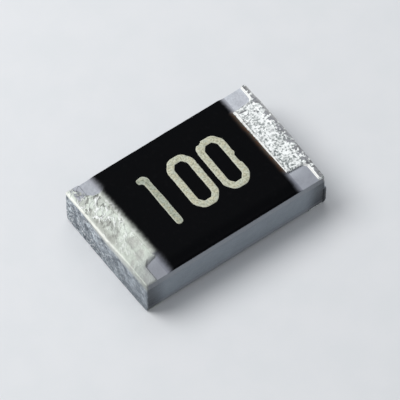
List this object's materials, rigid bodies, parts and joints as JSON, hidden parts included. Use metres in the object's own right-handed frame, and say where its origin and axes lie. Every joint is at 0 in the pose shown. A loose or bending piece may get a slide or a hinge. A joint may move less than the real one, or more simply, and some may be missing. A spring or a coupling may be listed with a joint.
{
  "type": "chip resistor",
  "caption": "Flat surface-mount chip resistor: white ceramic plate, black coated top with a pale value code, and plated metal ends.",
  "frame": {"origin": "middle of the soldering face, where the chip meets the board", "axes": "+X along the chip as its marking reads, +Y up the marking, +Z out of the board"},
  "size_m": [0.002, 0.0012, 0.0005],
  "materials": {
    "ceramic": "satin",
    "silver_print": "matte",
    "resistive": "satin",
    "undercoat_glass": "gloss",
    "black_coat": "satin",
    "ink": "matte",
    "end_metal": "matte",
    "nickel": "satin",
    "tin": "matte"
  },
  "bodies": {
    "root": {"ceramic_substrate": "ceramic", "top_electrode_left": "silver_print", "top_electrode_right": "silver_print", "bottom_electrode_left": "silver_print", "bottom_electrode_right": "silver_print", "resistive_film": "resistive", "glass_undercoat": "undercoat_glass", "black_overcoat": "black_coat", "value_marking": "ink", "end_film_left": "end_metal", "end_film_right": "end_metal", "nickel_barrier_left": "nickel", "nickel_barrier_right": "nickel", "tin_plating_left": "tin", "tin_plating_right": "tin"}
  },
  "joints": []
}
